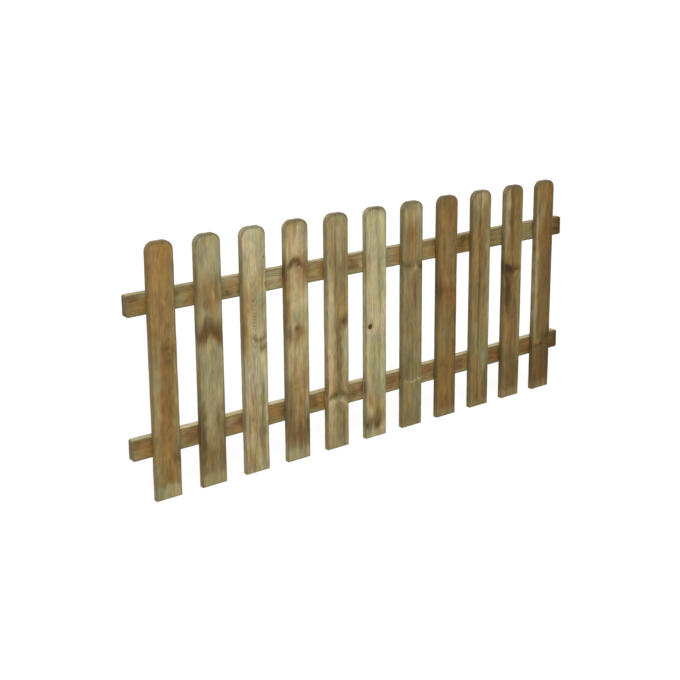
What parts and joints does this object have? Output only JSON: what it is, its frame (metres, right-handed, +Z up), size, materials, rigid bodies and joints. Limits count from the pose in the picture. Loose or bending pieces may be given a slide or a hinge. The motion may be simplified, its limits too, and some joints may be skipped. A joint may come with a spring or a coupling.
{
  "type": "garden picket fence panel",
  "caption": "Low garden fence panel of planed softwood: round-headed pickets fixed to the front of two level rails, whose bare tails screw to posts.",
  "frame": {"origin": "middle of the lower rail's flat back face", "axes": "+X along the rails, to the right as seen from the front; +Y to the back, out of the rails' back faces; +Z up the pickets"},
  "size_m": [1.8, 0.048, 0.8],
  "materials": {
    "picket_timber": "planed softwood, pressure treated to a green-brown, matt, with softened edges",
    "rail_timber": "planed softwood, pressure treated to a brown, matt, with softened edges",
    "screw_steel": "yellow passivated zinc, for the countersunk screws in the rails' backs"
  },
  "bodies": {
    "root": {"picket_01": "picket_timber", "picket_02": "picket_timber", "picket_03": "picket_timber", "picket_04": "picket_timber", "picket_05": "picket_timber", "picket_06": "picket_timber", "picket_07": "picket_timber", "picket_08": "picket_timber", "picket_09": "picket_timber", "picket_10": "picket_timber", "picket_11": "picket_timber", "lower_rail": "rail_timber", "upper_rail": "rail_timber"}
  },
  "joints": []
}
